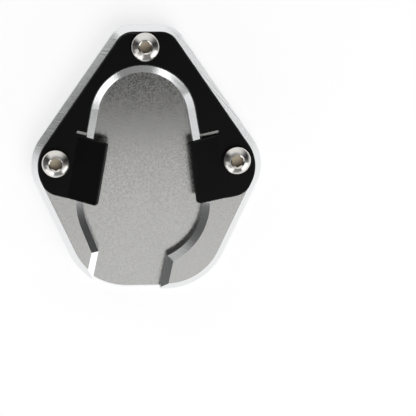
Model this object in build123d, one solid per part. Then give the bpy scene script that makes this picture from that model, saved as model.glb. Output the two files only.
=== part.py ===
from build123d import *

import os
from math import cos, radians, sin

# A foot that widens the contact patch of a motorcycle kickstand: a machined aluminium base with a
# pocket for the stand's own foot, and a black clamp plate held on it by three button-head screws.
# It lies flat, +Z up, the arch end towards +Y and the pocket's open neck towards -Y, with the origin
# under the middle of the base.

# Base plate: a six-sided outline given by its corners before rounding
base_length = 99.0
top_edge_width = 20.0
side_corner_width = 90.4
side_corner_y = -0.65
bottom_edge_width = 45.0
top_corner_radius = 9.5
side_corner_radius = 16.5
bottom_corner_radius = 24.0
base_thickness = 11.0
edge_chamfer = 2.5
underside_chamfer = 0.6

# Foot pocket, measured at the base's top face: a toe and a heel circle joined by tangents, each placed
# from its end of the base, and a slanting neck, placed by where its left wall would cross the open end,
# that a straight run leads into from the heel circle. The chamfer along the pocket's rim is as wide as
# the one along the outline, but flatter.
pocket_axis_x = -1.3
toe_radius = 19.2
toe_end_distance = 34.0
heel_radius = 24.85
heel_end_distance = 33.3
pocket_depth = 6.5
pocket_chamfer = 2.5
pocket_chamfer_depth = 1.8
lead_angle = 21.5
neck_width = 30.65
neck_lean = 12.0
neck_mouth_x = -23.75
mouth_chamfer = 0.4

# Clamp plate: bent sheet, set back from the base's chamfers. Past the end of each bend line the tab's
# lower edge runs on into the flat sheet as far as the kink.
sheet_thickness = 2.5
sheet_setback = 0.25
sheet_edge_break = 0.3
sheet_top_tilt = 3.0
lower_corner_radius = 7.0
bend_radius = 1.5
bend_angle = 18.0
tab_corner_radius = 1.0
slot_width = 1.6
lower_edge_kink = 2.5

# Left tab: where its bend line starts, how long it is and how it leans, the slopes of the slot and of
# the tab's lower edge, and how far the tab reaches
left_bend_x = -25.3
left_bend_y = 9.6
left_bend_length = 23.65
left_bend_lean = 10.0
left_edge_slope = 15.0
left_lower_slope = 13.0
left_tab_reach = 10.8

# Right tab, the same measures
right_bend_x = 26.1
right_bend_y = 9.5
right_bend_length = 23.8
right_bend_lean = 6.5
right_edge_slope = 13.0
right_lower_slope = 8.5
right_tab_reach = 10.0

# Button-head screws with a hexagon socket, M6: length from under the head, place and turn of each
thread_diameter = 6.0
screw_length = 12.0
screw_end_chamfer = 0.8
head_diameter = 10.5
head_height = 3.3
head_rim_height = 1.2
head_dome_bulge = 0.12
head_crown_diameter = 5.4
socket_width = 4.0
socket_depth = 2.1
socket_mouth_diameter = 5.15
socket_mouth_depth = 0.35
socket_point_diameter = 3.6
socket_point_depth = 0.8
thread_clearance = 0.05
hole_clearance = 0.3
top_screw_x = -0.7
top_screw_end_distance = 8.1
top_screw_turn = 7.0
left_screw_x = -33.3
left_screw_y = -0.8
left_screw_turn = 34.0
right_screw_x = 32.9
right_screw_y = 0.0
right_screw_turn = 30.0

screw_places = [
    (top_screw_x, base_length / 2 - top_screw_end_distance, top_screw_turn),
    (left_screw_x, left_screw_y, left_screw_turn),
    (right_screw_x, right_screw_y, right_screw_turn),
]
pocket_floor = base_thickness - pocket_depth
sheet_top = base_thickness + sheet_thickness
toe_centre = Vector(pocket_axis_x, base_length / 2 - toe_end_distance)
heel_centre = Vector(pocket_axis_x, heel_end_distance - base_length / 2)


def direction(angle):
    """Unit vector in the plan at an angle in degrees from +X."""
    return Vector(cos(radians(angle)), sin(radians(angle)))


def meeting_point(point_a, along_a, point_b, along_b):
    """Where two lines of the plan cross, each given by a point and a direction."""
    cross = along_a.X * along_b.Y - along_a.Y * along_b.X
    between = point_b - point_a
    reach = (between.X * along_b.Y - between.Y * along_b.X) / cross
    return point_a + along_a * reach


def inset_corners(corners, distance):
    """The corners of a clockwise polygon after each side moves inwards by a distance."""
    sides = []
    for start, end in zip(corners, corners[1:] + corners[:1]):
        along = (end - start).normalized()
        inwards = Vector(along.Y, -along.X)
        sides.append((start + inwards * distance, along))
    previous = sides[-1:] + sides[:-1]
    return [meeting_point(*before, *after) for before, after in zip(previous, sides)]


def rounded_face(corners, radii):
    """A flat face with rounded corners."""
    return make_face(FilletPolyline(*corners, radius=radii, close=True))


def upright(face, bottom, top):
    """A straight block over a plan face, between two heights."""
    return extrude(Pos(0, 0, bottom) * face, top - bottom, dir=(0, 0, 1))


base_corners = [
    Vector(-top_edge_width / 2, base_length / 2),
    Vector(top_edge_width / 2, base_length / 2),
    Vector(side_corner_width / 2, side_corner_y),
    Vector(bottom_edge_width / 2, -base_length / 2),
    Vector(-bottom_edge_width / 2, -base_length / 2),
    Vector(-side_corner_width / 2, side_corner_y),
]
corner_radii = [
    top_corner_radius,
    top_corner_radius,
    side_corner_radius,
    bottom_corner_radius,
    bottom_corner_radius,
    side_corner_radius,
]


def pocket_lobe(inset):
    """The foot's egg shape: a toe circle and a heel circle inside their common tangents."""
    toe = Pos(toe_centre) * Circle(toe_radius - inset)
    heel = Pos(heel_centre) * Rot(0, 0, 90) * Circle(heel_radius - inset)
    return make_hull([*toe.edges(), *heel.edges()])


def pocket_neck(inset):
    """The slanting channel for the stand's leg, and the straight run that leads into it."""
    outwards = direction(180 + lead_angle)
    lead = direction(270 + lead_angle)
    down = direction(270 - neck_lean)
    across = Vector(-down.Y, down.X)
    mouth = Vector(neck_mouth_x, -base_length / 2)
    lead_start = heel_centre + outwards * (heel_radius - inset)
    left_wall = mouth + across * inset
    right_wall = mouth + across * (neck_width - inset)
    return Polygon(
        heel_centre,
        lead_start,
        meeting_point(lead_start, lead, left_wall, down),
        left_wall + down * base_length,
        right_wall + down * base_length,
        right_wall + down * (heel_centre - right_wall).dot(down),
        align=None,
    )


def make_base_plate():
    """The machined slab: pocket and neck sunk from above, edges chamfered, three tapped holes through."""
    body = upright(rounded_face(base_corners, corner_radii), 0, base_thickness)
    body = chamfer(body.faces().sort_by(Axis.Z)[-1].edges(), edge_chamfer)
    flare_bottom = base_thickness - pocket_chamfer_depth
    flare = upright(pocket_lobe(0) + pocket_neck(0), flare_bottom, 2 * base_thickness)
    rim = flare.faces().sort_by(Axis.Z)[0]
    body -= chamfer(rim.edges(), pocket_chamfer, pocket_chamfer_depth, reference=rim)
    body -= upright(pocket_lobe(pocket_chamfer) + pocket_neck(pocket_chamfer), pocket_floor, base_thickness)
    tapped = Cylinder(thread_diameter / 2 + thread_clearance, 2 * base_thickness)
    for x, y, turn in screw_places:
        body -= Pos(x, y, base_thickness / 2) * tapped
    underside = body.faces().sort_by(Axis.Z)[0]
    body = chamfer(underside.edges(), underside_chamfer)
    floor = body.faces().filter_by_position(Axis.Z, pocket_floor, pocket_floor)[0]
    lip = [edge for edge in floor.edges() if not edge.is_interior]
    return chamfer(lip, mouth_chamfer)


class Tab:
    """One bent tab in plan: its bend line, and where its two cut edges run towards the pocket."""

    def __init__(self, side, bend_start, bend_length, bend_lean, edge_slope, lower_slope, reach):
        lean = radians(bend_lean)
        slope = radians(edge_slope)
        lower = radians(lower_slope)
        self.start = Vector(*bend_start)
        self.along = Vector(side * sin(lean), -cos(lean))
        self.end = self.start + self.along * bend_length
        self.inwards = Vector(-side * cos(lean), -sin(lean))
        self.edge = Vector(-side * cos(slope), -sin(slope))
        self.lower_edge = Vector(-side * cos(lower), -sin(lower))
        self.kink = self.end - self.lower_edge * lower_edge_kink
        self.upwards = Vector(-side * sin(slope), cos(slope))
        self.reach = reach


left_tab = Tab(
    -1,
    (left_bend_x, left_bend_y),
    left_bend_length,
    left_bend_lean,
    left_edge_slope,
    left_lower_slope,
    left_tab_reach,
)
right_tab = Tab(
    1,
    (right_bend_x, right_bend_y),
    right_bend_length,
    right_bend_lean,
    right_edge_slope,
    right_lower_slope,
    right_tab_reach,
)


def plate_opening():
    """What the sheet leaves free: the pocket's egg shape, the room of the two tabs, their relief slots."""
    opening = pocket_lobe(-sheet_setback)
    opening += Polygon(
        left_tab.start,
        left_tab.start + left_tab.edge * left_tab.reach,
        right_tab.start + right_tab.edge * right_tab.reach,
        right_tab.start,
        right_tab.end + right_tab.along,
        left_tab.end + left_tab.along,
        align=None,
    )
    for tab in (left_tab, right_tab):
        rise = tab.upwards * slot_width
        run = tab.edge * tab.reach
        opening += Polygon(tab.start, tab.start + rise, tab.start + rise + run, tab.start + run, align=None)
        slot_end = tab.start + rise / 2
        opening += Pos(slot_end.X, slot_end.Y) * Circle(slot_width / 2)
    return opening


def bent_tab(tab):
    """A strip that leaves the sheet at the bend line and rises over the pocket, cut along its two edges."""
    outer_radius = bend_radius + sheet_thickness
    bend_centre = sheet_top + bend_radius
    outer_arc = CenterArc((0, bend_centre), outer_radius, -90, bend_angle)
    inner_arc = CenterArc((0, bend_centre), bend_radius, -90, bend_angle)
    straight = (tab.reach - bend_radius * sin(radians(bend_angle))) / cos(radians(bend_angle))
    rise = direction(bend_angle) * straight
    underside = Line(outer_arc @ 1, outer_arc @ 1 + rise)
    upper_side = Line(inner_arc @ 1, inner_arc @ 1 + rise)
    section = make_face(
        [
            outer_arc,
            underside,
            Line(underside @ 1, upper_side @ 1),
            upper_side,
            inner_arc,
            Line(inner_arc @ 0, outer_arc @ 0),
        ]
    )
    across_bend = Plane(origin=tab.start, x_dir=tab.inwards, z_dir=tab.inwards.cross(Vector(0, 0, 1)))
    strip = extrude(across_bend * section, base_length, both=True)
    run = tab.edge * (2 * tab.reach)
    lower_run = tab.lower_edge * (2 * tab.reach)
    between_cuts = Polygon(tab.start, tab.start + run, tab.end + lower_run, tab.end, align=None)
    blank = strip & upright(between_cuts, base_thickness, base_length)
    tip = blank.faces().sort_by(Axis(tab.start, tab.inwards))[-1]
    return fillet(tip.edges().sort_by(SortBy.LENGTH)[:2], tab_corner_radius)


def make_clamp_plate():
    """The sheet: outline set back from the base's chamfers, opening, tabs, clearance holes, eased edges."""
    corners = inset_corners(base_corners, edge_chamfer + sheet_setback)
    top_left, top_right, right_side, right_foot, left_foot, left_side = corners
    top_middle = (top_left + top_right) / 2
    top_run = direction(sheet_top_tilt)
    right_corner = meeting_point(right_side, right_foot - right_side, right_tab.kink, right_tab.edge)
    left_corner = meeting_point(left_side, left_foot - left_side, left_tab.kink, left_tab.edge)
    top_radius = top_corner_radius - edge_chamfer - sheet_setback
    side_radius = side_corner_radius - edge_chamfer - sheet_setback
    outline = [
        (meeting_point(top_middle, top_run, left_side, top_left - left_side), top_radius),
        (meeting_point(top_middle, top_run, right_side, top_right - right_side), top_radius),
        (right_side, side_radius),
        (right_corner, lower_corner_radius),
        (right_tab.kink, 0),
        (right_tab.end, 0),
        (left_tab.end, 0),
        (left_tab.kink, 0),
        (left_corner, lower_corner_radius),
        (left_side, side_radius),
    ]
    face = rounded_face([corner for corner, radius in outline], [radius for corner, radius in outline])
    plate = upright(face - plate_opening(), base_thickness, sheet_top)
    plate += [bent_tab(left_tab), bent_tab(right_tab)]
    upper_edges = [edge for face in plate.faces() if face.normal_at().Z > 0.5 for edge in face.edges()]
    rim = [edge for edge in upper_edges if sum(edge.is_same(other) for other in upper_edges) == 1]
    plate = chamfer(rim, sheet_edge_break)
    clearance = Cylinder(thread_diameter / 2 + hole_clearance, 2 * sheet_top)
    for x, y, turn in screw_places:
        plate -= Pos(x, y, sheet_top) * clearance
    return plate


def make_screw():
    """One screw with its head's seat at Z = 0: turned shank and domed head, hexagon socket from above."""
    shank_radius = thread_diameter / 2
    head_rim = Vector(head_diameter / 2, head_rim_height)
    crown = Vector(head_crown_diameter / 2, head_height)
    up_dome = (crown - head_rim).normalized()
    outwards = Vector(up_dome.Y, -up_dome.X)
    dome = ThreePointArc(head_rim, (head_rim + crown) / 2 + outwards * head_dome_bulge, crown)
    shaft = Polyline(
        dome @ 1,
        (0, head_height),
        (0, -screw_length),
        (shank_radius - screw_end_chamfer, -screw_length),
        (shank_radius, screw_end_chamfer - screw_length),
        (shank_radius, 0),
        (head_diameter / 2, 0),
        dome @ 0,
    )
    screw = revolve(Plane.XZ * make_face([dome, shaft]), Axis.Z)
    socket_floor = head_height - socket_depth
    hexagon = RegularPolygon(socket_width / 2, 6, major_radius=False)
    screw -= upright(hexagon, socket_floor, head_height)
    mouth = Cone(socket_width / 2, socket_mouth_diameter / 2, socket_mouth_depth)
    screw -= Pos(0, 0, head_height - socket_mouth_depth / 2) * mouth
    drill_point = Cone(0, socket_point_diameter / 2, socket_point_depth)
    screw -= Pos(0, 0, socket_floor - socket_point_depth / 2) * drill_point
    return screw


def make_clamp_screws():
    """The three screws, each seated on the sheet's top face."""
    screw = make_screw()
    return Compound([Pos(x, y, sheet_top) * Rot(0, 0, turn) * screw for x, y, turn in screw_places])


base_plate = make_base_plate()
clamp_plate = make_clamp_plate()
clamp_screws = make_clamp_screws()

os.makedirs("parts", exist_ok=True)
export_step(base_plate, "parts/base_plate.step")
export_step(clamp_plate, "parts/clamp_plate.step")
export_step(clamp_screws, "parts/clamp_screws.step")
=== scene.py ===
# %% [markdown]
# # A wide foot for a motorcycle kickstand
#
# The object is a silver aluminium plate that slips under a kickstand so that it doesn't sink into soft
# ground. A pocket takes the stand's own foot, a black sheet-metal plate clamps it down with two bent
# tabs, and three button-head screws hold the sheet. The shapes of the plate and the sheet come from the
# CAD model, which is loaded here as a fixed frame. This lesson adds what a CAD solid lacks: real
# threads, finishes, light and a camera.

import math

import bmesh
import bpy
from mathutils import Matrix, Vector


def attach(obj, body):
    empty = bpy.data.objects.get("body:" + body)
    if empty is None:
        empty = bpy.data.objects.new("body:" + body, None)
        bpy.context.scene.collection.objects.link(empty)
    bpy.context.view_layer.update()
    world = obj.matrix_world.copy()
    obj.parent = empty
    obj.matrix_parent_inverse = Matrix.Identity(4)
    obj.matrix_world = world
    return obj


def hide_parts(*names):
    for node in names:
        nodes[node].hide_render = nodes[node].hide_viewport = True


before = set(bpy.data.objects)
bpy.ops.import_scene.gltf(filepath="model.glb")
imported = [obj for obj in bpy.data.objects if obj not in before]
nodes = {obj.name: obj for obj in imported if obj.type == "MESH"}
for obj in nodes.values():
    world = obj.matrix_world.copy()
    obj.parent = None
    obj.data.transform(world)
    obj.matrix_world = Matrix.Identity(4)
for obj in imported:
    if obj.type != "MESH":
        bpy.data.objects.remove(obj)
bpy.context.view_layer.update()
MM = 0.001

# %% [markdown]
# ## One screw, turned and tapped
#
# The screws are stainless M6 button heads: a cone with a slight bulge, rounded over at its widest. A
# lathe shape would do for that, but the hexagon socket and the helix of the thread aren't round. So the
# whole screw is a stack of rings with the same number of points, and each ring may change its radius and
# height with the angle: the socket's rings follow a hexagon, and the thread's rings follow a wave that
# climbs one pitch per turn. Neighbouring rings are joined by quads, which closes the skin with no
# booleans.

# %% Ring helpers
POINTS_PER_RING = 72


def ring_angle(step):
    return 2 * math.pi * step / POINTS_PER_RING


def add_ring(bm, radius_at, height_at):
    """One ring of points, its radius and height given as functions of the angle, in mm."""
    ring = []
    for step in range(POINTS_PER_RING):
        angle = ring_angle(step)
        radius = radius_at(angle) * MM
        place = (radius * math.cos(angle), radius * math.sin(angle), height_at(angle) * MM)
        ring.append(bm.verts.new(place))
    return ring


def join_rings(bm, rings):
    for lower, upper in zip(rings, rings[1:]):
        for step in range(POINTS_PER_RING):
            after = (step + 1) % POINTS_PER_RING
            bm.faces.new((lower[step], lower[after], upper[after], upper[step]))


def close_ring(bm, ring, height, upwards):
    """A fan to the middle, at a height in mm, facing up or down."""
    middle = bm.verts.new((0, 0, height * MM))
    for step in range(POINTS_PER_RING):
        after = (step + 1) % POINTS_PER_RING
        corners = (ring[step], ring[after], middle) if upwards else (ring[after], ring[step], middle)
        bm.faces.new(corners)


# %% Thread, head and socket of the screw
THREAD_RADIUS = 3.0
THREAD_DEPTH = 0.6
THREAD_PITCH = 1.0
THREAD_CREST = 0.15
THREAD_FLANK = 0.65
ROWS_PER_PITCH = 8
SCREW_LENGTH = 12.0
END_CHAMFER = 0.8
SMALLEST_RADIUS = 0.1
RUN_OUT = 1.2
NECK_CUTS = [(0.3, 0.3 - RUN_OUT), (0.1, -0.3), (0.0, 0.0)]
HEAD_RADIUS = 5.25
HEAD_HEIGHT = 3.3
RIM_HEIGHT = 1.2
RIM_ROUND = 1.4
RIM_ROWS = 6
SEAT_ROUND = 0.12
CROWN_RADIUS = 2.7
DOME_BULGE = 0.12
DOME_ROWS = 12
SOCKET_HALF_WIDTH = 2.0
SOCKET_DEPTH = 2.1
MOUTH_RADIUS = 2.575
MOUTH_DEPTH = 0.5
POINT_RADIUS = 1.8
POINT_DEPTH = 0.5


def thread_radius(angle, height):
    """Radius of the thread's flank at an angle and height, in mm, with a flat crest and root."""
    phase = (height / THREAD_PITCH - angle / (2 * math.pi)) % 1.0
    from_crest = abs(phase - 0.5) * 2
    depth = THREAD_DEPTH * min(1.0, max(0.0, (from_crest - THREAD_CREST) / THREAD_FLANK))
    end_limit = THREAD_RADIUS - END_CHAMFER + (height + SCREW_LENGTH)
    return min(THREAD_RADIUS - depth, max(end_limit, SMALLEST_RADIUS))


def hexagon_radius(angle):
    """Distance from the axis to the socket's wall at an angle."""
    from_flat = (angle % (math.pi / 3)) - math.pi / 6
    return SOCKET_HALF_WIDTH / math.cos(from_flat)


def dome_points():
    """Radius and height of the head from its rim to its crown: a cone with a slight bulge."""
    rim = Vector((HEAD_RADIUS, RIM_HEIGHT))
    climb = Vector((CROWN_RADIUS, HEAD_HEIGHT)) - rim
    outwards = Vector((climb.y, -climb.x)).normalized()
    shares = [row / DOME_ROWS for row in range(DOME_ROWS + 1)]
    return [rim + climb * share + outwards * (4 * DOME_BULGE * share * (1 - share)) for share in shares]


def rounded_rim(dome):
    """The arc that takes the head's edge from upright to the slope of the dome."""
    slope = (dome[1] - dome[0]).normalized()
    turn = math.atan2(-slope.x, slope.y)
    cut_back = RIM_ROUND * math.tan(turn / 2)
    centre = Vector((HEAD_RADIUS - RIM_ROUND, RIM_HEIGHT - cut_back))
    angles = [turn * row / RIM_ROWS for row in range(RIM_ROWS + 1)]
    return [centre + RIM_ROUND * Vector((math.cos(angle), math.sin(angle))) for angle in angles]


def mark_socket(mesh):
    """An attribute that is 1 on the faces inside the hexagon and 0 elsewhere."""
    limit = (SOCKET_HALF_WIDTH / math.cos(math.pi / 6) + MOUTH_RADIUS) / 2 * MM
    inside = [
        all(mesh.vertices[i].co.z > 0 and mesh.vertices[i].co.xy.length < limit for i in face.vertices)
        for face in mesh.polygons
    ]
    flags = mesh.attributes.new("in_socket", "FLOAT", "FACE")
    flags.data.foreach_set("value", [float(flag) for flag in inside])


def build_screw():
    bm = bmesh.new()
    rings = []
    rows = int((SCREW_LENGTH - RUN_OUT) / THREAD_PITCH * ROWS_PER_PITCH)
    for row in range(rows + 1):
        height = -SCREW_LENGTH + row * THREAD_PITCH / ROWS_PER_PITCH
        rings.append(add_ring(bm, lambda a, h=height: thread_radius(a, h), lambda a, h=height: h))
    plain = [(THREAD_RADIUS - cut, height) for cut, height in NECK_CUTS]
    plain += [(HEAD_RADIUS - SEAT_ROUND, 0.0), (HEAD_RADIUS, SEAT_ROUND)]
    dome = dome_points()
    rim = rounded_rim(dome)
    plain += rim + [point for point in dome if point.y > rim[-1].y]
    plain += [(MOUTH_RADIUS, HEAD_HEIGHT)]
    for radius, height in plain:
        rings.append(add_ring(bm, lambda a, r=radius: r, lambda a, h=height: h))
    slope = MOUTH_DEPTH / (MOUTH_RADIUS - SOCKET_HALF_WIDTH)
    socket_floor = HEAD_HEIGHT - SOCKET_DEPTH

    def mouth_height(angle):
        return HEAD_HEIGHT - slope * (MOUTH_RADIUS - hexagon_radius(angle))

    rings.append(add_ring(bm, hexagon_radius, mouth_height))
    rings.append(add_ring(bm, hexagon_radius, lambda a: socket_floor))
    rings.append(add_ring(bm, lambda a: POINT_RADIUS, lambda a: socket_floor))
    join_rings(bm, rings)
    close_ring(bm, rings[0], -SCREW_LENGTH, upwards=False)
    close_ring(bm, rings[-1], socket_floor - POINT_DEPTH, upwards=True)
    mesh = bpy.data.meshes.new("one_screw")
    bm.to_mesh(mesh)
    bm.free()
    local = mesh.attributes.new("place_on_screw", "FLOAT_VECTOR", "POINT")
    local.data.foreach_set("vector", [value for vertex in mesh.vertices for value in vertex.co])
    mark_socket(mesh)
    return bpy.data.objects.new("one_screw", mesh)


one_screw = build_screw()
print("one screw has", len(one_screw.data.polygons), "faces")

# %% [markdown]
# ## Three screws from one
#
# The same screw sits in three places, each stopped at its own turn of the hex key. Three copies made in
# Python would work, but a Geometry Nodes tree says it more clearly: three points carry a turn, and the
# tree puts the screw on each of them. Realize Instances makes plain geometry of the copies, and the
# result is kept as one mesh that stands for the CAD screws.

# %% Helpers for node trees
def add_node(tree, kind, inputs=None, **settings):
    """A node with its settings, and its inputs set or linked by name or number."""
    node = tree.nodes.new(kind)
    for name, value in settings.items():
        setattr(node, name, value)
    for name, value in (inputs or {}).items():
        if isinstance(value, bpy.types.NodeSocket):
            tree.links.new(value, node.inputs[name])
        else:
            node.inputs[name].default_value = value
    return node


def new_tree(name, kind, inputs, outputs):
    """A node group with named sockets, and its two end nodes."""
    tree = bpy.data.node_groups.new(name, kind)
    for label, socket in inputs:
        tree.interface.new_socket(label, in_out="INPUT", socket_type=socket)
    for label, socket in outputs:
        tree.interface.new_socket(label, in_out="OUTPUT", socket_type=socket)
    return tree, tree.nodes.new("NodeGroupInput"), tree.nodes.new("NodeGroupOutput")


def run_geometry_tree(name, mesh, tree, values):
    """Runs a tree on a mesh and keeps the result as a plain mesh object at the origin."""
    piece = bpy.data.objects.new(name, mesh)
    bpy.context.scene.collection.objects.link(piece)
    modifier = piece.modifiers.new(name, "NODES")
    modifier.node_group = tree
    for item in tree.interface.items_tree:
        if item.in_out == "INPUT" and item.name in values:
            modifier[item.identifier] = values[item.name]
    depsgraph = bpy.context.evaluated_depsgraph_get()
    result = bpy.data.meshes.new_from_object(piece.evaluated_get(depsgraph))
    piece.modifiers.remove(modifier)
    piece.data = result
    result.name = name
    return piece


def points_mesh(name, places, turns):
    """Loose points in metres, each with a turn about the vertical in radians."""
    mesh = bpy.data.meshes.new(name)
    mesh.from_pydata([Vector(place) * MM for place in places], [], [])
    turn = mesh.attributes.new("turn", "FLOAT", "POINT")
    turn.data.foreach_set("value", [math.radians(degrees) for degrees in turns])
    return mesh


# %% The tree that sets a piece on points
def build_set_on_points():
    tree, start, end = new_tree(
        "set_on_points",
        "GeometryNodeTree",
        [
            ("Points", "NodeSocketGeometry"),
            ("Piece", "NodeSocketObject"),
            ("Seat Height", "NodeSocketFloat"),
            ("Finish", "NodeSocketMaterial"),
        ],
        [("Geometry", "NodeSocketGeometry")],
    )
    lift = add_node(tree, "ShaderNodeCombineXYZ", {"Z": start.outputs["Seat Height"]})
    seat = add_node(
        tree, "GeometryNodeSetPosition", {"Geometry": start.outputs["Points"], "Offset": lift.outputs[0]}
    )
    turn = add_node(tree, "GeometryNodeInputNamedAttribute", {"Name": "turn"}, data_type="FLOAT")
    spin = add_node(
        tree, "FunctionNodeAxisAngleToRotation", {"Axis": (0, 0, 1), "Angle": turn.outputs["Attribute"]}
    )
    piece = add_node(tree, "GeometryNodeObjectInfo", {"Object": start.outputs["Piece"]})
    copies = add_node(
        tree,
        "GeometryNodeInstanceOnPoints",
        {
            "Points": seat.outputs[0],
            "Instance": piece.outputs["Geometry"],
            "Rotation": spin.outputs[0],
        },
    )
    real = add_node(tree, "GeometryNodeRealizeInstances", {"Geometry": copies.outputs[0]})
    finish = add_node(
        tree, "GeometryNodeSetMaterial", {"Geometry": real.outputs[0], "Material": start.outputs["Finish"]}
    )
    tree.links.new(finish.outputs[0], end.inputs["Geometry"])
    return tree


SHEET_TOP = 13.5
SCREW_PLACES = [(-0.7, 41.4, 0.0), (-33.3, -0.8, 0.0), (32.9, 0.0, 0.0)]
SCREW_TURNS = [7.0, 34.0, 30.0]
SHARP_ANGLE = math.radians(28)

stainless = bpy.data.materials.new("polished_stainless")
aluminium = bpy.data.materials.new("blasted_aluminium")
black_coat = bpy.data.materials.new("satin_black_coat")

one_screw.data.shade_smooth()
one_screw.data.set_sharp_from_angle(angle=SHARP_ANGLE)
set_on_points = build_set_on_points()
screws = run_geometry_tree(
    "button_head_screws",
    points_mesh("screw_points", SCREW_PLACES, SCREW_TURNS),
    set_on_points,
    {"Piece": one_screw, "Seat Height": SHEET_TOP * MM, "Finish": stainless},
)
bpy.data.objects.remove(one_screw)
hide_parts("clamp_screws")
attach(screws, "root")
screws_top = max(vertex.co.z for vertex in screws.data.vertices) / MM
print("three screws:", len(screws.data.polygons), "faces, top at", round(screws_top, 2))

# %% [markdown]
# ## Threads in the tapped holes
#
# Seen from below, each screw ends a little inside its hole, and the last turns of the tapped thread show.
# A thread is a small ridge that follows a helix, so it is made as one: a spiral curve swept with a
# small profile, repeated in the three holes by the tree above.

# %% A ridge along a helix
HELIX_POINTS = 48
RIDGE_SIDES = 6


def build_thread_ridge():
    tree, start, end = new_tree(
        "thread_ridge",
        "GeometryNodeTree",
        [
            ("Geometry", "NodeSocketGeometry"),
            ("Radius", "NodeSocketFloat"),
            ("Ridge", "NodeSocketFloat"),
            ("Turns", "NodeSocketFloat"),
            ("Height", "NodeSocketFloat"),
            ("Finish", "NodeSocketMaterial"),
        ],
        [("Geometry", "NodeSocketGeometry")],
    )
    helix = add_node(
        tree,
        "GeometryNodeCurveSpiral",
        {
            "Resolution": HELIX_POINTS,
            "Rotations": start.outputs["Turns"],
            "Start Radius": start.outputs["Radius"],
            "End Radius": start.outputs["Radius"],
            "Height": start.outputs["Height"],
        },
    )
    profile = add_node(
        tree,
        "GeometryNodeCurvePrimitiveCircle",
        {"Resolution": RIDGE_SIDES, "Radius": start.outputs["Ridge"]},
    )
    ridge = add_node(
        tree,
        "GeometryNodeCurveToMesh",
        {"Curve": helix.outputs[0], "Profile Curve": profile.outputs[0], "Fill Caps": True},
    )
    real = add_node(tree, "GeometryNodeRealizeInstances", {"Geometry": ridge.outputs[0]})
    finish = add_node(
        tree, "GeometryNodeSetMaterial", {"Geometry": real.outputs[0], "Material": start.outputs["Finish"]}
    )
    tree.links.new(finish.outputs[0], end.inputs["Geometry"])
    return tree


HOLE_RADIUS = 3.05
RIDGE = 0.26
FREE_TURNS = 0.9
RIDGE_START = 0.45
ridge_piece = run_geometry_tree(
    "one_tapped_thread",
    bpy.data.meshes.new("helix_seed"),
    build_thread_ridge(),
    {
        "Radius": HOLE_RADIUS * MM,
        "Ridge": RIDGE * MM,
        "Turns": FREE_TURNS,
        "Height": FREE_TURNS * THREAD_PITCH * MM,
        "Finish": aluminium,
    },
)
tapped = run_geometry_tree(
    "tapped_threads",
    points_mesh("hole_points", SCREW_PLACES, SCREW_TURNS),
    set_on_points,
    {"Piece": ridge_piece, "Seat Height": RIDGE_START * MM, "Finish": aluminium},
)
bpy.data.objects.remove(ridge_piece)
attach(tapped, "root")
print("tapped threads:", len(tapped.data.polygons), "faces")

# %% [markdown]
# ## Effects that the finishes share
#
# Three effects turn up on more than one metal here: a fine grain, the lines a cutting tool leaves, and
# edges that are a little more worn than the faces and carry a painted highlight. Each is a node group,
# built once, with its sizes as inputs. A group only gives a height or a mask, and each material decides what
# to do with it.

# %% Fine grain
def build_fine_grain():
    tree, start, end = new_tree(
        "fine_grain",
        "ShaderNodeTree",
        [
            ("Place", "NodeSocketVector"),
            ("Grains per Metre", "NodeSocketFloat"),
            ("Clouds per Metre", "NodeSocketFloat"),
        ],
        [("Height", "NodeSocketFloat"), ("Cloud", "NodeSocketFloat")],
    )
    grain = add_node(
        tree,
        "ShaderNodeTexNoise",
        {
            "Vector": start.outputs["Place"],
            "Scale": start.outputs["Grains per Metre"],
            "Detail": 2.0,
            "Roughness": 0.6,
        },
    )
    cloud = add_node(
        tree,
        "ShaderNodeTexNoise",
        {"Vector": start.outputs["Place"], "Scale": start.outputs["Clouds per Metre"], "Detail": 3.0},
    )
    tree.links.new(grain.outputs[0], end.inputs["Height"])
    tree.links.new(cloud.outputs[0], end.inputs["Cloud"])
    return tree


# %% Tool lines
def build_tool_lines():
    tree, start, end = new_tree(
        "tool_lines",
        "ShaderNodeTree",
        [("Across", "NodeSocketFloat"), ("Lines per Metre", "NodeSocketFloat")],
        [("Height", "NodeSocketFloat")],
    )
    lines = add_node(
        tree,
        "ShaderNodeTexNoise",
        {"W": start.outputs["Across"], "Scale": start.outputs["Lines per Metre"], "Detail": 2.0},
        noise_dimensions="1D",
    )
    tree.links.new(lines.outputs[0], end.inputs["Height"])
    return tree


# %% Worn edges with a painted highlight
EDGE_ALIKE = (0.995, 0.9)
PATCH_SPAN = (0.3, 0.7)
PATCH_LEAST = 0.35


# The edge mask stands for real wear and also for a painted highlight along every edge.
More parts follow.
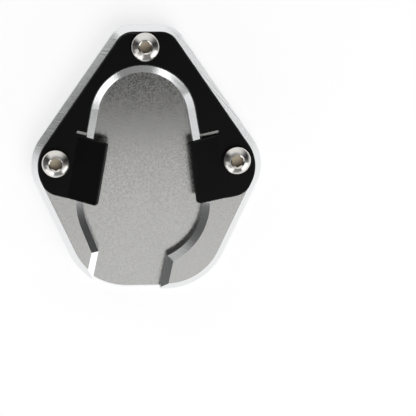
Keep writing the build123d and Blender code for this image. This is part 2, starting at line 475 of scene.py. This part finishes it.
def build_worn_and_highlit_edge():
    tree, start, end = new_tree(
        "worn_and_highlit_edge",
        "ShaderNodeTree",
        [
            ("Place", "NodeSocketVector"),
            ("Reach", "NodeSocketFloat"),
            ("Patches per Metre", "NodeSocketFloat"),
        ],
        [("Mask", "NodeSocketFloat")],
    )
    rounded = add_node(tree, "ShaderNodeBevel", {"Radius": start.outputs["Reach"]}, samples=6)
    surface = add_node(tree, "ShaderNodeNewGeometry")
    alike = add_node(
        tree,
        "ShaderNodeVectorMath",
        {0: rounded.outputs[0], 1: surface.outputs["Normal"]},
        operation="DOT_PRODUCT",
    )
    edge = add_node(
        tree,
        "ShaderNodeMapRange",
        {
            "Value": alike.outputs["Value"],
            "From Min": EDGE_ALIKE[0],
            "From Max": EDGE_ALIKE[1],
            "To Min": 0.0,
            "To Max": 1.0,
        },
    )
    patches = add_node(
        tree,
        "ShaderNodeTexNoise",
        {"Vector": start.outputs["Place"], "Scale": start.outputs["Patches per Metre"], "Detail": 2.0},
    )
    broken = add_node(
        tree,
        "ShaderNodeMapRange",
        {
            "Value": patches.outputs[0],
            "From Min": PATCH_SPAN[0],
            "From Max": PATCH_SPAN[1],
            "To Min": PATCH_LEAST,
            "To Max": 1.0,
        },
    )
    mask = add_node(tree, "ShaderNodeMath", {0: edge.outputs[0], 1: broken.outputs[0]}, operation="MULTIPLY")
    tree.links.new(mask.outputs[0], end.inputs["Mask"])
    return tree


fine_grain = build_fine_grain()
tool_lines = build_tool_lines()
worn_and_highlit_edge = build_worn_and_highlit_edge()
print("shared effects:", [tree.name for tree in (fine_grain, tool_lines, worn_and_highlit_edge)])

# %% [markdown]
# ## Blasted and machined aluminium
#
# The flat faces are fine blasted, which gives a satin grey with a speckle where the light changes. The
# speckle is a change of roughness, not of height, so it looks the same from every side. The chamfers are
# cut afterwards and stay bright, with faint lines along the cut and a slight slanting ripple. The upright
# sides are duller than the chamfers, and a little darker than the table that they mirror, so they get a
# finish of their own. One material serves all three: the object's own normal says which way a face points.

# %% Helpers for the finishes
def clear_material(material):
    """The material's empty tree with its shader, which is linked to the output."""
    material.use_nodes = True
    tree = material.node_tree
    tree.nodes.clear()
    shader = add_node(tree, "ShaderNodeBsdfPrincipled")
    add_node(tree, "ShaderNodeOutputMaterial", {"Surface": shader.outputs[0]})
    return tree, shader


def fill_group(tree, group, inputs):
    """A shared effect placed in a material, with its inputs set or linked by name."""
    return add_node(tree, "ShaderNodeGroup", inputs, node_tree=group)


def mix_numbers(tree, factor, low, high):
    """A number between two others, each a socket or a constant."""
    return add_node(tree, "ShaderNodeMix", {0: factor, 2: low, 3: high}).outputs[0]


def mix_colours(tree, factor, low, high):
    return add_node(tree, "ShaderNodeMix", {0: factor, 6: low, 7: high}, data_type="RGBA").outputs[2]


def ramp(tree, value, low, high, to_low=0.0, to_high=1.0):
    """A value mapped from one span to another, eased at the ends."""
    inputs = {"Value": value, "From Min": low, "From Max": high, "To Min": to_low, "To Max": to_high}
    return add_node(tree, "ShaderNodeMapRange", inputs, interpolation_type="SMOOTHSTEP").outputs[0]


# %% The aluminium
BLASTED = (0.60, 0.597, 0.58, 1.0)
BLASTED_CLOUD = (0.56, 0.557, 0.542, 1.0)
CUT = (0.86, 0.866, 0.872, 1.0)
CUT_LINE = (0.78, 0.787, 0.795, 1.0)
# Lighter colour along every edge: partly rubbed wear, partly a painted highlight.
RUBBED_AND_HIGHLIGHT = (0.90, 0.905, 0.91, 1.0)
SIDE = (0.80, 0.802, 0.815, 1.0)
FLAT_LIMITS = (0.85, 0.97)
UPRIGHT_LIMITS = (0.1, 0.4)
GRAIN_SPAN = (0.36, 0.64)
LINE_SPAN = (0.3, 0.7)
BLASTED_ROUGHNESS = (0.14, 0.26)
CUT_ROUGHNESS = (0.12, 0.18)
SIDE_ROUGHNESS = 0.30
GRAINS = 2100.0
CLOUDS = 60.0
CUT_LINES = 7000.0
RIPPLES = 1500.0
WEAR_AND_HIGHLIGHT_REACH = 0.0003
WEAR_AND_HIGHLIGHT_PATCHES = 300.0
GRAIN_RELIEF = 0.000006
LINE_RELIEF = 0.000003
RIPPLE_RELIEF = 0.000018
RIPPLE_SLANT = (0.55, 0.60, -0.58)


def build_aluminium(material):
    tree, shader = clear_material(material)
    place = add_node(tree, "ShaderNodeTexCoord")
    facing = add_node(tree, "ShaderNodeSeparateXYZ", {0: place.outputs["Normal"]})
    level = add_node(tree, "ShaderNodeMath", {0: facing.outputs["Z"]}, operation="ABSOLUTE")
    flat = ramp(tree, level.outputs[0], *FLAT_LIMITS)
    height = add_node(tree, "ShaderNodeSeparateXYZ", {0: place.outputs["Object"]})
    grain = fill_group(
        tree,
        fine_grain,
        {"Place": place.outputs["Object"], "Grains per Metre": GRAINS, "Clouds per Metre": CLOUDS},
    )
    lines = fill_group(tree, tool_lines, {"Across": height.outputs["Z"], "Lines per Metre": CUT_LINES})
    edge = fill_group(
        tree,
        worn_and_highlit_edge,
        {"Place": place.outputs["Object"], "Reach": WEAR_AND_HIGHLIGHT_REACH, "Patches per Metre": WEAR_AND_HIGHLIGHT_PATCHES},
    )
    blasted = mix_colours(tree, grain.outputs["Cloud"], BLASTED, BLASTED_CLOUD)
    upright = ramp(tree, level.outputs[0], *UPRIGHT_LIMITS, 1.0, 0.0)
    cut = mix_colours(tree, lines.outputs["Height"], CUT, CUT_LINE)
    cut = mix_colours(tree, upright, cut, SIDE)
    metal = mix_colours(tree, flat, cut, blasted)
    # Edges turn to the lighter colour, which is wear and a painted edge highlight.
    tree.links.new(mix_colours(tree, edge.outputs["Mask"], metal, RUBBED_AND_HIGHLIGHT), shader.inputs["Base Color"])
    blasted_rough = ramp(tree, grain.outputs["Height"], *GRAIN_SPAN, *BLASTED_ROUGHNESS)
    cut_rough = ramp(tree, lines.outputs["Height"], *LINE_SPAN, *CUT_ROUGHNESS)
    cut_rough = mix_numbers(tree, upright, cut_rough, SIDE_ROUGHNESS)
    tree.links.new(mix_numbers(tree, flat, cut_rough, blasted_rough), shader.inputs["Roughness"])
    grain_relief = add_node(
        tree,
        "ShaderNodeBump",
        {"Strength": flat, "Distance": GRAIN_RELIEF, "Height": grain.outputs["Height"]},
    )
    line_relief = add_node(
        tree,
        "ShaderNodeBump",
        {
            "Strength": 1.0,
            "Distance": LINE_RELIEF,
            "Height": lines.outputs["Height"],
            "Normal": grain_relief.outputs[0],
        },
    )
    slant = add_node(
        tree, "ShaderNodeVectorMath", {0: place.outputs["Object"], 1: RIPPLE_SLANT}, operation="DOT_PRODUCT"
    )
    ripple = fill_group(tree, tool_lines, {"Across": slant.outputs["Value"], "Lines per Metre": RIPPLES})
    ripple_relief = add_node(
        tree,
        "ShaderNodeBump",
        {
            "Strength": ramp(tree, level.outputs[0], *FLAT_LIMITS, 1.0, 0.0),
            "Distance": RIPPLE_RELIEF,
            "Height": ripple.outputs["Height"],
            "Normal": line_relief.outputs[0],
        },
    )
    tree.links.new(ripple_relief.outputs[0], shader.inputs["Normal"])
    shader.inputs["Metallic"].default_value = 1.0


build_aluminium(aluminium)
nodes["base_plate"].data.materials[0] = aluminium
print("aluminium:", len(aluminium.node_tree.nodes), "nodes")

# %% [markdown]
# ## Satin black coating
#
# The sheet is coated black after it was cut and bent. The coat is matt enough to swallow reflections,
# with a very fine texture. Along the eased edges its colour is lighter, partly a thinner coat and partly a
# painted highlight.

# %% The black coat
COAT = (0.0054, 0.0054, 0.0056, 1.0)
# Lighter colour along the edges: a thinner coat and a painted edge highlight.
THIN_COAT_AND_HIGHLIGHT = (0.035, 0.036, 0.038, 1.0)
COAT_GRAINS = 3200.0
COAT_CLOUD_SPAN = (0.3, 0.7)
COAT_ROUGHNESS = (0.36, 0.46)
COAT_RELIEF = 0.000008
COAT_SPECULAR = 0.13
COAT_WEAR_AND_HIGHLIGHT_REACH = 0.00035
COAT_WEAR_AND_HIGHLIGHT_PATCHES = 240.0


def build_black_coat(material):
    tree, shader = clear_material(material)
    place = add_node(tree, "ShaderNodeTexCoord")
    grain = fill_group(
        tree,
        fine_grain,
        {"Place": place.outputs["Object"], "Grains per Metre": COAT_GRAINS, "Clouds per Metre": CLOUDS},
    )
    edge = fill_group(
        tree,
        worn_and_highlit_edge,
        {
            "Place": place.outputs["Object"],
            "Reach": COAT_WEAR_AND_HIGHLIGHT_REACH,
            "Patches per Metre": COAT_WEAR_AND_HIGHLIGHT_PATCHES,
        },
    )
    # Edges get the lighter colour, which partly paints a highlight.
    tree.links.new(mix_colours(tree, edge.outputs["Mask"], COAT, THIN_COAT_AND_HIGHLIGHT), shader.inputs["Base Color"])
    rough = ramp(tree, grain.outputs["Cloud"], *COAT_CLOUD_SPAN, *COAT_ROUGHNESS)
    tree.links.new(rough, shader.inputs["Roughness"])
    bump = add_node(
        tree, "ShaderNodeBump", {"Strength": 1.0, "Distance": COAT_RELIEF, "Height": grain.outputs["Height"]}
    )
    tree.links.new(bump.outputs[0], shader.inputs["Normal"])
    shader.inputs["Specular IOR Level"].default_value = COAT_SPECULAR


build_black_coat(black_coat)
nodes["clamp_plate"].data.materials[0] = black_coat
print("black coat:", len(black_coat.node_tree.nodes), "nodes")

# %% [markdown]
# ## Polished stainless
#
# The screw heads are turned and polished: bright, with fine rings round the axis. The socket is punched,
# and inside it the colour is browner and darker. Both need to know where a point lies on its own screw, so
# the one screw was given its own coordinates before it was copied, and the material reads that attribute.

# %% The stainless steel
STEEL = (0.70, 0.68, 0.65, 1.0)
# Inside the socket the colour is browner and darker, mottled at random.
SOCKET_BROWN = (0.66, 0.57, 0.44, 1.0)
SOCKET_BROWN_DARK = (0.50, 0.42, 0.31, 1.0)
POLISH_RINGS = 6000.0
SOCKET_GRAINS = 1500.0
SOCKET_CLOUDS = 900.0
POLISHED_ROUGHNESS = (0.12, 0.18)
SOCKET_ROUGHNESS = 0.42
RING_RELIEF = 0.000004


def build_stainless(material):
    tree, shader = clear_material(material)
    local = add_node(tree, "ShaderNodeAttribute", attribute_name="place_on_screw")
    split = add_node(tree, "ShaderNodeSeparateXYZ", {0: local.outputs["Vector"]})
    flat_place = add_node(tree, "ShaderNodeCombineXYZ", {"X": split.outputs["X"], "Y": split.outputs["Y"]})
    radius = add_node(tree, "ShaderNodeVectorMath", {0: flat_place.outputs[0]}, operation="LENGTH")
    rings = fill_group(tree, tool_lines, {"Across": radius.outputs["Value"], "Lines per Metre": POLISH_RINGS})
    socket_mottle = fill_group(
        tree,
        fine_grain,
        {
            "Place": local.outputs["Vector"],
            "Grains per Metre": SOCKET_GRAINS,
            "Clouds per Metre": SOCKET_CLOUDS,
        },
    )
    socket = add_node(tree, "ShaderNodeAttribute", attribute_name="in_socket").outputs["Fac"]
    socket_brown = mix_colours(tree, socket_mottle.outputs["Cloud"], SOCKET_BROWN, SOCKET_BROWN_DARK)
    tree.links.new(mix_colours(tree, socket, STEEL, socket_brown), shader.inputs["Base Color"])
    polished = ramp(tree, rings.outputs["Height"], *LINE_SPAN, *POLISHED_ROUGHNESS)
    tree.links.new(mix_numbers(tree, socket, polished, SOCKET_ROUGHNESS), shader.inputs["Roughness"])
    bump = add_node(
        tree, "ShaderNodeBump", {"Strength": 1.0, "Distance": RING_RELIEF, "Height": rings.outputs["Height"]}
    )
    tree.links.new(bump.outputs[0], shader.inputs["Normal"])
    shader.inputs["Metallic"].default_value = 1.0


build_stainless(stainless)
print("stainless:", len(stainless.node_tree.nodes), "nodes")

# %% [markdown]
# ## Floor
#
# The part lies on a white table. A white that is only lit would need so much light that the metal would
# burn out, so two thirds of the table's white are its own glow, for the camera and for mirror images alike,
# and the rest is matt and keeps the shadow. Light that bounces off the table comes from an ordinary
# matt white. From below the table is clear, so that the underside can be looked at.

# %% The white table
TABLE_HALF = 3.0
TABLE_WHITE = (0.82, 0.82, 0.82, 1.0)
SHADED_SHARE = (0.66, 0.66, 0.66, 1.0)
TABLE_GLOW = 0.69
TABLE_DROP = 0.00005
FIRST_BOUNCE = 0.5


def build_table_finish():
    material = bpy.data.materials.new("white_table")
    material.use_nodes = True
    tree = material.node_tree
    tree.nodes.clear()
    matt = add_node(tree, "ShaderNodeBsdfDiffuse", {"Color": TABLE_WHITE})
    shaded = add_node(tree, "ShaderNodeBsdfDiffuse", {"Color": SHADED_SHARE})
    glow = add_node(tree, "ShaderNodeEmission", {"Color": (1.0, 1.0, 1.0, 1.0), "Strength": TABLE_GLOW})
    shown = add_node(tree, "ShaderNodeAddShader", {0: shaded.outputs[0], 1: glow.outputs[0]})
    path = add_node(tree, "ShaderNodeLightPath")
    seen = path.outputs["Is Camera Ray"]
    for ray in ("Is Glossy Ray", "Is Transmission Ray"):
        either = add_node(tree, "ShaderNodeMath", {0: seen, 1: path.outputs[ray]}, operation="MAXIMUM")
        seen = either.outputs[0]
    depth = path.outputs["Diffuse Depth"]
    direct = add_node(tree, "ShaderNodeMath", {0: depth, 1: FIRST_BOUNCE}, operation="LESS_THAN")
    both_hold = add_node(tree, "ShaderNodeMath", {0: seen, 1: direct.outputs[0]}, operation="MULTIPLY")
    seen = both_hold.outputs[0]
    top = add_node(tree, "ShaderNodeMixShader", {0: seen, 1: matt.outputs[0], 2: shown.outputs[0]})
    clear = add_node(tree, "ShaderNodeBsdfTransparent")
    below = add_node(tree, "ShaderNodeNewGeometry").outputs["Backfacing"]
    both = add_node(tree, "ShaderNodeMixShader", {0: below, 1: top.outputs[0], 2: clear.outputs[0]})
    add_node(tree, "ShaderNodeOutputMaterial", {"Surface": both.outputs[0]})
    return material


def build_table():
    mesh = bpy.data.meshes.new("table")
    signs = [(-1, -1), (1, -1), (1, 1), (-1, 1)]
    mesh.from_pydata([(x * TABLE_HALF, y * TABLE_HALF, -TABLE_DROP) for x, y in signs], [], [(0, 1, 2, 3)])
    mesh.materials.append(build_table_finish())
    table = bpy.data.objects.new("table", mesh)
    bpy.context.scene.collection.objects.link(table)
    return table


build_table()
print("table of", 2 * TABLE_HALF, "m")

# %% [markdown]
# ## Room and lamps
#
# Metal shows its surroundings more than its own colour, so the light is built from what the surfaces
# mirror. The flat faces look almost straight up: there the room is dark, and a soft box begins a few
# degrees towards the open end, which gives the pocket's floor its change from dark to light. The
# chamfers and the screws' heads look out sideways, low over the table. They mirror a pale wall behind
# the arch, dark corners beside it, two wide soft boxes that stand low at the front, and a smaller one,
# raised at the left. Above the wall the room is dim.

# %% The room
WALL = [
    (0, 0.10),
    (18, 0.02),
    (34, 0.15),
    (58, 0.80),
    (80, 1.00),
    (128, 1.00),
    (142, 0.40),
    (150, 0.06),
    (162, 0.05),
    (196, 0.18),
    (214, 0.35),
    (236, 0.50),
    (246, 1.10),
    (256, 1.00),
    (263, 0.30),
    (300, 0.25),
    (316, 0.95),
    (332, 0.75),
    (344, 0.45),
    (354, 0.18),
    (360, 0.10),
]
WALL_TOP_ANGLES = (23, 38)
UPPER_WALL = (0.22, 0.22, 0.22, 1.0)
CEILING_ANGLES = (50, 64)
CEILING = (0.03, 0.03, 0.03, 1.0)


def build_room():
    """A wall whose brightness goes by the bearing in degrees, under a dark ceiling."""
    world = bpy.data.worlds.new("studio_room")
    bpy.context.scene.world = world
    world.use_nodes = True
    tree = world.node_tree
    tree.nodes.clear()
    looking = add_node(tree, "ShaderNodeTexCoord")
    split = add_node(tree, "ShaderNodeSeparateXYZ", {0: looking.outputs["Generated"]})
    across, along = split.outputs["X"], split.outputs["Y"]
    bearing = add_node(tree, "ShaderNodeMath", {0: along, 1: across}, operation="ARCTAN2")
    per_turn = 1 / (2 * math.pi)
    turn = add_node(tree, "ShaderNodeMath", {0: bearing.outputs[0], 1: per_turn}, operation="MULTIPLY")
    share = add_node(tree, "ShaderNodeMath", {0: turn.outputs[0]}, operation="FRACT")
    wall = add_node(tree, "ShaderNodeValToRGB", {0: share.outputs[0]})
    stops = wall.color_ramp.elements
    while len(stops) < len(WALL):
        stops.new(0.5)
    for stop, (degrees, grey) in zip(stops, WALL):
        stop.position = degrees / 360
        stop.color = (grey, grey, grey, 1.0)
    room = wall.outputs[0]
    for angles, above in ((WALL_TOP_ANGLES, UPPER_WALL), (CEILING_ANGLES, CEILING)):
        low, high = (math.sin(math.radians(angle)) for angle in angles)
        room = mix_colours(tree, ramp(tree, split.outputs["Z"], low, high), room, above)
    light = add_node(tree, "ShaderNodeBackground", {"Color": room, "Strength": 1.0})
    add_node(tree, "ShaderNodeOutputWorld", {"Surface": light.outputs[0]})


build_room()
print("room: a wall with", len(WALL), "stops")


# %% The lamps
LAMP_DISTANCE = 2.0
STANDING_SIZE = (1.58, 0.63)


def add_soft_box(name, centre, size, radiance, aim):
    """A soft box: its centre, size and aim in metres, and how bright its face looks."""
    width, depth = size
    data = bpy.data.lights.new(name, "AREA")
    data.shape = "RECTANGLE"
    data.size = width
    data.size_y = depth
    data.energy = radiance * math.pi * width * depth
    lamp = bpy.data.objects.new(name, data)
    bpy.context.scene.collection.objects.link(lamp)
    lamp.location = centre
    lamp.rotation_mode = "QUATERNION"
    lamp.rotation_quaternion = (Vector(aim) - Vector(centre)).to_track_quat("-Z", "Y")


def add_overhead(name, left, right, near, far, radiance):
    """A level soft box, its sides given in degrees off the vertical."""
    x0, x1, y0, y1 = (LAMP_DISTANCE * math.tan(math.radians(angle)) for angle in (left, right, far, near))
    middle = ((x0 + x1) / 2, (y0 + y1) / 2)
    add_soft_box(name, (*middle, LAMP_DISTANCE), (x1 - x0, y1 - y0), radiance, (*middle, 0.0))


def add_standing(name, bearing, radiance):
    """A low upright soft box that faces the part from a bearing in degrees."""
    turn = math.radians(bearing)
    centre = Vector((math.cos(turn), math.sin(turn), 0.0)) * LAMP_DISTANCE
    centre.z = STANDING_SIZE[1] / 2
    add_soft_box(name, centre, STANDING_SIZE, radiance, (0.0, 0.0, centre.z))


def add_raised(name, bearing, elevation, size, radiance):
    """A soft box on a stand, at a bearing and elevation in degrees, turned to the part."""
    turn, rise = math.radians(bearing), math.radians(elevation)
    outwards = Vector((math.cos(turn) * math.cos(rise), math.sin(turn) * math.cos(rise), math.sin(rise)))
    add_soft_box(name, outwards * LAMP_DISTANCE, size, radiance, (0.0, 0.0, 0.0))


add_overhead("overhead_soft_box", left=-10, right=40, near=-6.0, far=-50, radiance=0.80)
add_overhead("overhead_right_soft_box", left=4, right=40, near=-6.5, far=-50, radiance=1.30)
add_standing("front_left_soft_box", bearing=233.5, radiance=0.86)
add_standing("front_right_soft_box", bearing=322, radiance=0.98)
add_raised("side_left_soft_box", bearing=204, elevation=22, size=(0.74, 0.55), radiance=0.62)
print("lamps:", [light.name for light in bpy.data.lights])

# %% [markdown]
# ## Camera
#
# The picture looks down on the part from a little to the arch end. The place of the camera was worked
# out from the picture's own perspective: the widths of the chamfers on either side and the offset of
# things at different heights. The part sits in the upper left of the frame, which a lens shift gives
# without tilting the view.

# %% The camera
IMAGE_WIDTH = 416
SENSOR_WIDTH = 36.0
NEAREST_SEEN = 0.01
FOCAL_PIXELS = 1009.3
AXIS_PIXEL = (146.5, 156.5)
CAMERA_PLACE = Vector((-17.07, 52.79, 378.99)) * MM
CAMERA_AIM = Vector((0.0, 0.85, 8.0)) * MM


def build_camera():
    data = bpy.data.cameras.new("photo_camera")
    data.sensor_width = SENSOR_WIDTH
    data.lens = FOCAL_PIXELS / IMAGE_WIDTH * SENSOR_WIDTH
    data.shift_x = 0.5 - AXIS_PIXEL[0] / IMAGE_WIDTH
    data.shift_y = AXIS_PIXEL[1] / IMAGE_WIDTH - 0.5
    data.clip_start = NEAREST_SEEN
    camera = bpy.data.objects.new("photo_camera", data)
    bpy.context.scene.collection.objects.link(camera)
    forward = (CAMERA_AIM - CAMERA_PLACE).normalized()
    upward = (Vector((0, 1, 0)) - forward * forward.y).normalized()
    right = forward.cross(upward)
    turned = Matrix((right, upward, -forward)).transposed().to_4x4()
    camera.matrix_world = Matrix.Translation(CAMERA_PLACE) @ turned
    bpy.context.scene.camera = camera
    return camera


camera = build_camera()
bpy.context.scene.view_settings.view_transform = "Standard"
shift = [round(value, 3) for value in (camera.data.shift_x, camera.data.shift_y)]
print("camera lens", round(camera.data.lens, 1), "mm, shift", shift)
